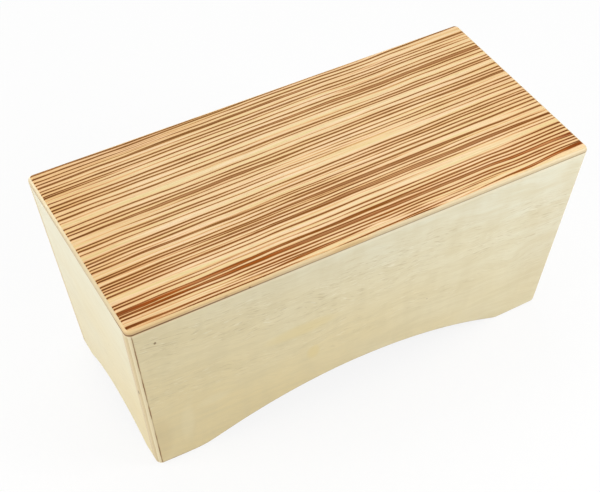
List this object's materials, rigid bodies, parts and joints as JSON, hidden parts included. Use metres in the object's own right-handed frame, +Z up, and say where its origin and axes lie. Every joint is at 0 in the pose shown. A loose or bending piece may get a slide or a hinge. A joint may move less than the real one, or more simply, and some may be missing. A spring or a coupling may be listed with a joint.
{
  "type": "bongo cajon",
  "caption": "Small splayed box drum in birch plywood with a striped wood playing surface, a divided inside open at the bottom, and arched feet on every side.",
  "frame": {"origin": "middle of the footprint, on the floor that the drum stands on", "axes": "+X along the length towards the smaller chamber, -Y out of the front panel, +Z up out of the playing surface"},
  "size_m": [0.4, 0.19, 0.185],
  "materials": {
    "zebrano_veneer": "striped red-brown and cream veneer under a thin satin lacquer",
    "tapa_birch": "sanded birch plywood edge, satin lacquer",
    "panel_birch": "pale birch plywood, fine straight grain, satin lacquer outside",
    "divider_birch": "plain birch plywood, sanded, no lacquer",
    "batten_spruce": "planed softwood, no lacquer"
  },
  "bodies": {
    "root": {"tapa_face_veneer": "zebrano_veneer", "tapa_core": "tapa_birch", "front_panel": "panel_birch", "rear_panel": "panel_birch", "left_end_panel": "panel_birch", "right_end_panel": "panel_birch", "chamber_divider": "divider_birch", "corner_post_front_left": "batten_spruce", "corner_post_front_right": "batten_spruce", "corner_post_rear_left": "batten_spruce", "corner_post_rear_right": "batten_spruce", "batten_front_low": "batten_spruce", "batten_front_high": "batten_spruce", "batten_rear_low": "batten_spruce", "batten_rear_high": "batten_spruce", "batten_left_end": "batten_spruce", "batten_right_end": "batten_spruce"}
  },
  "joints": []
}
